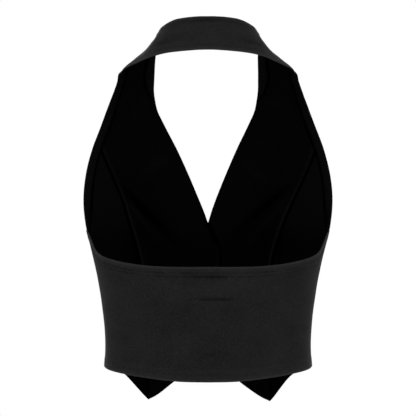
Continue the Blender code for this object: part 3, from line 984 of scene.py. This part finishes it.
def plain(name, tint, roughness, ior, specular, grain, relief):
    """A hard or spun finish with a slight grain: its size in millimetres, and how strongly it shows."""
    finish, tree = new_finish(name)
    place = add(tree, "ShaderNodeTexCoord", {}).outputs["Object"]
    noise = {"Vector": place, "Scale": 1 / (grain * MM), "Detail": 2.0}
    speckle = add(tree, "ShaderNodeTexNoise", noise).outputs["Fac"]
    rough = {"Height": speckle, "Strength": relief, "Distance": 0.1 * MM}
    bump = add(tree, "ShaderNodeBump", rough).outputs["Normal"]
    look = {
        "Base Color": colour(tint),
        "Normal": bump,
        "Roughness": roughness,
        "IOR": ior,
        "Specular IOR Level": specular,
    }
    shader = add(tree, "ShaderNodeBsdfPrincipled", look).outputs["BSDF"]
    add(tree, "ShaderNodeOutputMaterial", {"Surface": shader})
    return finish


# Woven crepe, dyed black: its face scatters the light, so it is matt and a little grainy.
OUTER_CREPE = crepe(
    "black_crepe", "#060606", "#2c2c2c", middle=0.36, grain_share=0.25, sheen=0.06, specular=0.05
)
# Its wrong side has flatter yarns and no bloom, and its colour is painted far darker than the face's as the
# garment's inside shade.
INNER_CREPE = crepe(
    "black_crepe_wrong_side", "#000000", "#121212", middle=0.26, grain_share=0.08, sheen=0.0, specular=0.0
)
# The facings are the same crepe, pressed flat: their grain is faint.
FACING_CREPE = crepe(
    "black_facing", "#000000", "#161616", middle=0.45, grain_share=0.1, sheen=0.0, specular=0.0
)
# Spun polyester thread, with a twist about 0.3 mm long: dull, and a little paler than a pressed seam.
THREAD = plain(
    "black_polyester_thread", "#111111", roughness=0.6, ior=1.45, specular=0.15, grain=0.3, relief=0.2
)
# The same thread inside the garment, painted darker as the shade it lies in.
INNER_THREAD = plain(
    "black_polyester_thread_inside", "#050505", roughness=0.8, ior=1.45, specular=0.02, grain=0.3, relief=0.2
)
# Cast and turned polyester resin: smooth, with a soft highlight and barely a ripple.
RESIN = plain(
    "black_polyester_button", "#0b0b0b", roughness=0.33, ior=1.54, specular=0.4, grain=2.0, relief=0.05
)


# ---- the pieces ----


def on_front(side, runs, turns, sunk=0.0):
    """Cloth laid on one half of the front surface, sunk below its outer face by a distance.

    armhole is how far each place lies from the armhole's edge, which runs on past the side seam.
    """
    surface = FRONT_SURFACES[side]
    points = surface(runs, turns)
    normals = outward(surface, runs, turns, 1.0)
    points = points + normals * (lap_step(runs, points[..., 0], side) - sunk)[..., None]
    edge = surface(np.linspace(UNDERARM, SHOULDER, ARMHOLE_POINTS), np.ones(ARMHOLE_POINTS))
    below = edge[0] + PAST_UNDERARM * unit(edge[0] - edge[1])
    cloth = laid(points, normals, runs, side)
    cloth.armhole = distance_to(points, np.vstack([below, edge]))
    return cloth


def seam_then_fold(seamed):
    """How far a last edge rounds out that is seamed up to a height and turned above it."""
    share = seamed[:, -1]
    return TURNED_EDGE * (1 - share) + SEAMED_EDGE * share


def made_up(name, cloth, edges, rows):
    """Makes a piece of crepe, topstitches it and puts it in place of its solid.

    edges gives what shell asks for, and rows what line_inside asks for, for each row of stitches.
    """
    piece = shell(name, cloth, edges, (OUTER_CREPE, INNER_CREPE))
    lines = [line_inside(cloth, *row) for row in rows]
    cut_as(piece, name, [sewn(f"{name}_topstitching", lines, THREAD)])


def front_centre(side):
    """The front from its lapped edge and the neckline to the princess seam, up to the shoulder."""
    surface = FRONT_SURFACES[side]
    shares = spaced(CENTRE_WIDTH)
    hem = smooth(CENTRE_HEM[side], shares)[:, 0]
    top = SHOULDER - SEAM_GAP / 2
    stations = (hem, hem + FINE_BAND, EDGE_BENDS, NECK_POINT, SEAM_TOP, FACED_FROM, top)
    runs = rows_between(stations, len(shares))
    edge = smooth(INNER_EDGE, runs)[..., 0]
    first = np.where(edge < 0, turn_at_x(surface, runs, np.minimum(edge, 0)), 0.0)
    last = turn_at_x(surface, runs, smooth(PRINCESS_SEAM[side], runs)[..., 0] - SEAM_GAP / 2)
    cloth = on_front(side, runs, spread(surface, runs, first, last, shares))
    # The last edge is the princess seam, and above it the armhole.
    seamed = 1 - rises(runs, SEAM_TOP - 6, 6)
    crease(cloth, FRONT_CREASES[side])
    bend_over_shoulder(cloth)
    uneven(cloth, side)
    topstitched(cloth, cloth.first, EDGE_FOLD, EDGE_STITCH, cloth.along)
    topstitched(cloth, cloth.low, EDGE_FOLD, EDGE_STITCH, cloth.across)
    topstitched(cloth, cloth.armhole, ARMHOLE_FOLD, ARMHOLE_STITCH, cloth.along)
    seam(cloth, cloth.last, seamed)
    seam(cloth, cloth.high)
    # The princess seam's allowance is pressed towards centre front. It stops short of the hem, and above it
    # ends where the facing covers it. Its ridge has a painted highlight, most of all at the height of the
    # bust, with a painted shadow line at the seam.
    clear = rises(cloth.armhole, ARMHOLE_FACING, 4) * rises(runs, 20, 30)
    ridge = bump_at(cloth.last, 2.0, 2.0)
    seam_light_and_shade = rises(runs, 60, 40) * (1 - 0.5 * rises(runs, 215, 30))
    cloth.depth += (1.1 * ridge + 0.25 * within(cloth.last, SEAM_ALLOWANCE)) * clear
    cloth.inner_tone += (0.85 * ridge - 0.5 * within(cloth.last, 0.6, 0.5)) * clear * seam_light_and_shade
    # The cloth is in the facings' shade along their free edges.
    beside_armhole = bump_at(cloth.armhole, ARMHOLE_FACING + 0.6, 1.2)
    width = smooth(NECK_FACING, np.maximum(runs, FACED_FROM))[..., 0]
    beside_neck = bump_at(cloth.first, width + 0.6, 1.2) * rises(runs, FACED_FROM, 4)
    cloth.inner_tone += FACED_TONE * (beside_armhole + beside_neck)
    # The waist and the top of the strap lie deeper in the garment's own shade.
    cloth.inner_tone -= 0.09 * (1 - rises(runs, 140, 60)) + 0.07 * rises(runs, 260, 40)
    # Inside the lap, painted shade stands for the shadow that the left front's edge casts on the right front
    # beside it. The edge itself has painted shade at the foot of the V, and its fold a painted highlight
    # lower down.
    lapped = 1 - rises(runs, NECK_POINT, 6)
    if side == "right":
        under = np.maximum(cloth.x + smooth(INNER_EDGE, runs)[..., 0], 0)
        cloth.inner_tone -= 0.7 * within(under, 2.8, 1.3) * lapped
    else:
        edge_shade = bump_at(cloth.first, 0.0, 2.6) * lapped * rises(runs, 155, 8)
        edge_light = within(cloth.first, EDGE_STITCH) * (1 - rises(runs, 150, 12))
        cloth.inner_tone += 0.1 * edge_light - 0.6 * edge_shade
    edges = {"low": TURNED_EDGE, "high": SEAMED_EDGE, "first": TURNED_EDGE, "last": seam_then_fold(seamed)}
    rows = (
        # edge, inset, clear of, distances to go by
        ("first", EDGE_STITCH, ("low",)),
        ("low", EDGE_STITCH, ("first",)),
        ("last", ARMHOLE_STITCH, (), "armhole"),
    )
    made_up(f"front_{side}_centre", cloth, edges, rows)


def front_side(side):
    """The front from the princess seam to the side seam and the lower armhole."""
    surface = FRONT_SURFACES[side]
    shares = spaced(SIDE_WIDTH)
    hem = smooth(SIDE_HEM[side], shares)[:, 0]
    runs = rows_between((hem, hem + FINE_BAND, UNDERARM, NECK_POINT, SEAM_TOP), len(shares))
    first = turn_at_x(surface, runs, smooth(PRINCESS_SEAM[side], runs)[..., 0] + SEAM_GAP / 2)
    cloth = on_front(side, runs, spread(surface, runs, first, np.ones(runs.shape), shares))
    # The last edge is the side seam, and above it the armhole.
    seamed = 1 - rises(runs, UNDERARM - 4, 6)
    crease(cloth, FRONT_CREASES[side])
    uneven(cloth, side)
    topstitched(cloth, cloth.low, EDGE_FOLD, EDGE_STITCH, cloth.across)
    topstitched(cloth, cloth.armhole, ARMHOLE_FOLD, ARMHOLE_STITCH, cloth.along)
    seam(cloth, cloth.first, 1 - rises(runs, SEAM_TOP - 8, 8))
    seam(cloth, cloth.last, seamed)
    cloth.depth -= 0.5 * bump_at(cloth.first, 0.0, 2.4)
    cloth.depth += 0.5 * within(cloth.last, SEAM_ALLOWANCE) * seamed
    # The inside has painted light at the bust, which faces the open back, and painted shade at the waist and
    # beside the seam below the bust.
    cloth.inner_tone += 0.3 * rises(runs, 150, 50) - 0.1
    cloth.inner_tone -= 0.15 * within(cloth.first, 14.0, 6.0) * (1 - rises(runs, 165, 30))
    # The allowance turned away from the seam shades the cloth beside it, and the facing does so too. The
    # seam's shade is faint at the hem's point, where the allowance ends.
    cloth.inner_tone -= 0.8 * within(cloth.first, 2.8, 1.0) * (0.3 + 0.7 * rises(runs, 0, 40))
    cloth.inner_tone -= 0.8 * bump_at(cloth.armhole, ARMHOLE_FACING + 0.6, 1.2)
    edges = {"low": TURNED_EDGE, "high": TUCKED_TIP, "first": SEAMED_EDGE, "last": seam_then_fold(seamed)}
    rows = (("low", EDGE_STITCH), ("last", ARMHOLE_STITCH, (), "armhole"))
    made_up(f"front_{side}_side", cloth, edges, rows)


def facing(name, side, places, width, reach, free, shade):
    """A strip inside a front, up to the shoulder, sewn down along its open edge.

    reach gives its points' distances from the neckline, from the runs, the shares across the strip and the
    front's whole width there. free names its edge away from the open one, and shade is how much painted
    shade darkens the whole strip.
    """
    surface = FRONT_SURFACES[side]
    shares = np.linspace(0, 1, int(width / FINE) + 1)
    runs = rows_between((*places, SHOULDER - SEAM_GAP / 2), len(shares))
    turns, lengths = lengths_across(surface, runs, np.zeros(runs.shape), np.ones(runs.shape))
    strip = turns_at_length(turns, lengths, reach(runs, shares, lengths[..., -1]))
    cloth = on_front(side, runs, strip, CLOTH + FACING_GAP)
    uneven(cloth, "facing", 0.05)
    cloth.depth[:] = FACING_CLOTH
    near = getattr(cloth, free)
    # Painted shade: a dark line along the free edge, and the whole strip darker, more so near the shoulder.
    cloth.inner_tone -= 0.75 * within(near, 0.9, 0.6) + 0.12 * within(near, 4.0, 3.0)
    cloth.inner_tone -= shade + 0.12 * rises(runs, 320, 20)
    edges = {"low": 0.3, "high": SEAMED_EDGE, "first": 0.4, "last": 0.4}
    return cloth, shell(name, cloth, edges, (FACING_CREPE, FACING_CREPE))


def armhole_facing(side):
    """The strip of even width along the armhole, from the underarm to the shoulder."""

    def reach(runs, shares, width):
        return width - SEAM_GAP - ARMHOLE_FACING * (1 - shares)

    name = f"armhole_facing_{side}"
    places = (UNDERARM, NECK_POINT, SEAM_TOP, FACED_FROM)
    cloth, piece = facing(name, side, places, ARMHOLE_FACING, reach, "first", 0.14)
    lines = [line_inside(cloth, "last", ARMHOLE_STITCH, inner=True)]
    cut_as(piece, name, [sewn(f"{name}_stitching", lines, INNER_THREAD)])


def neck_facing(side):
    """The tapered strip along the neck edge of a strap."""

    def reach(runs, shares, width):
        return SEAM_GAP + smooth(NECK_FACING, runs)[..., 0] * shares

    name = f"neck_facing_{side}"
    places = (FACED_FROM, FACED_WHOLE)
    _, piece = facing(name, side, places, NECK_FACING[-1][1], reach, "last", 0.03)
    cut_as(piece, name)


def neckband():
    """From shoulder seam to shoulder seam, as the left half and its mirror image."""
    shares = spaced(BAND_WIDTH)
    runs = np.linspace(SHOULDER + SEAM_GAP / 2, CENTRE_BACK_NECK, BAND_ROWS)[:, None]
    runs, turns = np.broadcast_arrays(runs, shares[None, :])
    points = with_mirror(front_surface(runs, turns), 0)
    normals = with_mirror(outward(front_surface, runs, turns, 1.0), 0)
    cloth = laid(points, normals, with_mirror(runs, 0))
    crease(cloth, NECKBAND_CREASES)
    bend_over_shoulder(cloth)
    uneven(cloth, "neckband")
    for near, weight in ((cloth.first, 0.3), (cloth.last, 0.12)):
        topstitched(cloth, near, EDGE_FOLD, EDGE_STITCH, cloth.along, weight)
    seam(cloth, cloth.low)
    seam(cloth, cloth.high)
    # The band rolls over its neck edge behind the neck, bends a little where it leaves the neck, and lies in
    # more shade towards the shoulders. Painted light and shade follow this: paler on the ridge and along
    # both edges, darker at the bend, on the roll behind the neck and towards the shoulders.
    aside = np.abs(cloth.x)
    bend = bump_at(cloth.last, 14.5, 2.8) * bump_at(aside, 54.0, 11.0)
    ridge = bump_at(cloth.first, 16.0, 4.5) * bump_at(aside, 38.0, 16.0)
    rolled = bump_at(aside, 0.0, 24.0)
    cloth.relief += 0.35 * ridge - 0.6 * bend
    cloth.outer_tone += 0.06 + 0.14 * ridge - 0.3 * bend - 0.2 * rises(aside, 70, 15)
    cloth.outer_tone += 0.14 * within(cloth.last, 11.0, 5.0) * (1 - 0.5 * rolled)
    cloth.outer_tone += 0.12 * within(cloth.first, 5.0, 3.0)
    cloth.outer_tone -= 0.42 * within(cloth.first, 7.0, 3.0) * rolled
    edges = {"low": SEAMED_EDGE, "high": SEAMED_EDGE, "first": TURNED_EDGE, "last": TURNED_EDGE}
    made_up("neckband", cloth, edges, (("first", EDGE_STITCH), ("last", EDGE_STITCH)))


def back_panel():
    """From side seam to side seam, as the left half and its mirror image."""
    shares = spaced(BACK_WIDTH, last_band=0.0)
    low = smooth(BACK_HEM, shares)[:, 0]
    high = smooth(BACK_TOP, shares)[:, 0]
    runs = low + (high - low) * spaced(BACK_HEIGHT, BACK_FINE_BAND, BACK_FINE_BAND)[:, None]
    turns = spread(back_surface, runs, np.ones(runs.shape), np.zeros(runs.shape), shares)
    points = back_surface(runs, turns)
    points[..., 1] += SEAM_GAP
    normals = outward(back_surface, runs, turns, -1.0)
    cloth = laid(with_mirror(points, 1), with_mirror(normals, 1), with_mirror(runs, 1))
    crease(cloth, BACK_CREASES)
    uneven(cloth, "back_panel")
    turned_edge(cloth, cloth.high, CASING_FOLD)
    turned_edge(cloth, cloth.low, HEM_FOLD)
    for inset in CASING_STITCHES:
        stitch_line(cloth, cloth.high, inset, cloth.across, 0.85)
    middle = bump_at(cloth.x, 0.0, 18.0)
    for inset in HEM_STITCHES:
        stitch_line(cloth, cloth.low, inset, cloth.across, 0.12 + 0.3 * middle)
    seam(cloth, cloth.first)
    seam(cloth, cloth.last)
    # The hem and the casing have painted highlights, most of all at their ends and along the casing's top
    # edge near the sides, and the small of the back and the sides above the hem have painted shade.
    beside = np.minimum(cloth.first, cloth.last)
    cloth.outer_tone += 0.15 * within(cloth.low, 13.0, 3.0) + 0.11 * within(cloth.high, CASING) - 0.045
    cloth.outer_tone += 0.4 * (1 - rises(cloth.run, 8, 26)) * within(beside, 22.0, 13.0)
    cloth.outer_tone -= 0.24 * within(beside, 19.0, 13.0) * rises(cloth.run, 40, 40)
    cloth.outer_tone += 0.3 * within(cloth.high, 3.5, 2.0) * within(beside, 45.0, 12.0)
    cloth.outer_tone -= 0.07 * bump_at(cloth.x, 0.0, 48.0) * (1 + 0.4 * bump_at(cloth.run, 26.0, 12.0))
    edges = {"low": TURNED_EDGE, "high": TURNED_EDGE, "first": SEAMED_EDGE, "last": SEAMED_EDGE}
    rows = [("high", inset) for inset in CASING_STITCHES] + [("low", inset) for inset in HEM_STITCHES]
    made_up("back_panel", cloth, edges, rows)


def button_place(run):
    """The middle of the outer face at a button, and its outward normal."""
    here = np.array([run])
    normal = outward(front_surface, here, np.zeros(1), 1.0)[0]
    return front_surface(here, np.zeros(1))[0] + normal * LAP_STEP, normal


def select_top(mesh, height):
    """Selects the one face that looks up at a height, in edit mode."""
    shape = bmesh.from_edit_mesh(mesh)
    for face in shape.faces:
        top = face.normal.z > 0.9 and abs(face.calc_center_median().z - height) < 0.01 * MM
        face.select_set(top and len(face.verts) > 8)
    bmesh.update_edit_mesh(mesh)


def turned_button():
    """A round sewn-through button: a turned disc with a raised rim, a dished middle and four holes."""
    bpy.ops.object.select_all(action="DESELECT")
    bpy.ops.mesh.primitive_cylinder_add(
        vertices=BUTTON_SIDES, radius=BUTTON_RADIUS * MM, depth=BUTTON_THICK * MM, end_fill_type="NGON"
    )
    disc = bpy.context.object
    disc.data.materials.clear()
    disc.data.materials.append(RESIN)
    bpy.ops.object.mode_set(mode="EDIT")
    bpy.ops.mesh.select_mode(type="FACE")
    bpy.ops.mesh.select_all(action="DESELECT")
    select_top(disc.data, BUTTON_THICK / 2 * MM)
    bpy.ops.mesh.inset(thickness=BUTTON_RIM * MM, depth=0.0)
    bpy.ops.mesh.inset(thickness=BUTTON_SLOPE * MM, depth=-BUTTON_DISH * MM)
    bpy.ops.object.mode_set(mode="OBJECT")
    rounded = disc.modifiers.new("rims", "BEVEL")
    rounded.width = BUTTON_ROUNDING * MM
    rounded.segments = 3
    rounded.limit_method = "ANGLE"
    rounded.angle_limit = math.radians(25)
    bpy.ops.object.modifier_apply(modifier=rounded.name)
    for x, y in ((1, 1), (-1, 1), (-1, -1), (1, -1)):
        place = (HOLE_PLACE * MM * x, HOLE_PLACE * MM * y, 0.0)
        bpy.ops.mesh.primitive_cylinder_add(
            vertices=HOLE_SIDES, radius=HOLE_RADIUS * MM, depth=3 * BUTTON_THICK * MM, location=place
        )
        drill = bpy.context.object
        cut = disc.modifiers.new("hole", "BOOLEAN")
        cut.operation = "DIFFERENCE"
        cut.solver = "EXACT"
        cut.object = drill
        bpy.context.view_layer.objects.active = disc
        bpy.ops.object.modifier_apply(modifier=cut.name)
        bpy.data.objects.remove(drill)
    disc.data.shade_smooth()
    disc.data.set_sharp_from_angle(angle=math.radians(35))
    return disc


def sew_button(pattern, name, run):
    """A copy of the button on its place, with the threads that cross its middle."""
    middle, normal = button_place(run)
    disc = placed(f"{name}_disc", pattern.data.copy())
    turn = Vector(normal).to_track_quat("Z", "Y").to_matrix().to_4x4()
    centre = Vector(middle + normal * (SEAM_GAP + BUTTON_THICK / 2)) * MM
    disc.data.transform(Matrix.Translation(centre) @ turn)
    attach(disc, "root")
    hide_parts(name)
    across = np.array(turn.to_3x3() @ Vector((1, 0, 0)))
    up = np.array(turn.to_3x3() @ Vector((0, 1, 0)))
    past_hole, below_dish = STRAND_ENDS
    face = middle + normal * (SEAM_GAP + BUTTON_THICK - BUTTON_DISH - below_dish)
    reach = across * (HOLE_PLACE + past_hole)
    starts, ends = [], []
    for height in (-HOLE_PLACE, HOLE_PLACE):
        for strand in STRANDS:
            starts.append(face - reach + up * (height + strand))
            ends.append(face + reach + up * (height + strand))
    sewing = threads(f"{name}_thread", starts, ends, [normal] * len(starts), *BUTTON_THREAD, THREAD)


def on_right_front(run, reach):
    """A place on the right front's outer face, a distance from centre front towards the side."""
    here = np.array([run])
    turn = turn_at_x(right_front_surface, here, np.array([abs(reach)])) * np.sign(reach)
    normal = outward(right_front_surface, here, turn, 1.0)
    stands_out = lap_step(here, np.array([reach]), "right")[:, None]
    point = right_front_surface(here, turn) + normal * stands_out
    return mirrored(point, "right")[0], mirrored(normal, "right")[0]


def buttonhole(name, run):
    """Close stitches along both sides of the slit that a button passes, and across its far end."""
    starts, ends, normals = [], [], []
    for reach in np.arange(SLIT_START, SLIT_END, BAR_STEP):
        place, normal = on_right_front(run, reach)
        along = on_right_front(run, reach + 1.0)[0] - place
        up = unit(np.cross(normal, along))
        for sign in (-1.0, 1.0):
            starts.append(place + up * BAR_STITCH[0] * sign)
            ends.append(place + up * BAR_STITCH[1] * sign)
            normals.append(normal)
    for reach in (SLIT_END + BAR_GAP, SLIT_END + BAR_GAP + BAR_STEP):
        place, normal = on_right_front(run, reach)
        starts.append(place - up * BAR_END)
        ends.append(place + up * BAR_END)
        normals.append(normal)
    sewing = threads(name, starts, ends, normals, *BAR_THREAD, THREAD)


# ---- light, floor and camera ----


def studio():
    """A pale floor and soft lamps on all sides. The wall is white to the eye, and lights only a little."""
    scene = bpy.context.scene
    scene.view_settings.view_transform = "Standard"
    world = bpy.data.worlds.new("studio")
    scene.world = world
    world.use_nodes = True
    tree = world.node_tree
    tree.nodes.clear()
    seen = add(tree, "ShaderNodeLightPath", {}).outputs["Is Camera Ray"]
    white = colour("#ffffff")
    wall = add(tree, "ShaderNodeBackground", {"Color": white, "Strength": 1.0}).outputs[0]
    fill = add(tree, "ShaderNodeBackground", {"Color": white, "Strength": FILL}).outputs[0]
    both = add(tree, "ShaderNodeMixShader", {0: seen, 1: fill, 2: wall}).outputs[0]
    add(tree, "ShaderNodeOutputWorld", {"Surface": both})

    finish, tree = new_finish("pale_floor")
    shader = add(tree, "ShaderNodeBsdfPrincipled", {"Base Color": colour("#f4f4f4"), "Roughness": 0.9})
    add(tree, "ShaderNodeOutputMaterial", {"Surface": shader.outputs["BSDF"]})
    bpy.ops.mesh.primitive_plane_add(size=FLOOR_SIZE, location=(0, 0, FLOOR_HEIGHT))
    floor = bpy.context.object
    floor.name = "floor"
    floor.data.materials.append(finish)

    aim = Vector(LAMP_AIM)
    for name, place, size, watts in LAMPS:
        light = bpy.data.lights.new(name, "AREA")
        light.size = size
        light.energy = watts
        lamp = placed(name, light)
        lamp.location = place
        lamp.rotation_euler = (aim - Vector(place)).to_track_quat("-Z", "Y").to_euler()


def camera():
    """Level with the middle of the garment, straight behind it."""
    view = bpy.data.cameras.new("camera")
    view.sensor_width = 36.0
    view.lens = view.sensor_width * CAMERA_DISTANCE / (PICTURE_WIDTH * MM)
    seen_from = placed("camera", view)
    seen_from.location = (0.0, CAMERA_DISTANCE, CAMERA_HEIGHT)
    seen_from.rotation_euler = (math.radians(90), 0.0, math.radians(180))
    bpy.context.scene.camera = seen_from


camera()
studio()
back_panel()
neckband()
for side in ("left", "right"):
    front_centre(side)
    front_side(side)
    armhole_facing(side)
    neck_facing(side)
pattern = turned_button()
for name, run in BUTTON_RUNS.items():
    sew_button(pattern, name, run)
    buttonhole(name.replace("button", "buttonhole"), run)
bpy.data.objects.remove(pattern)
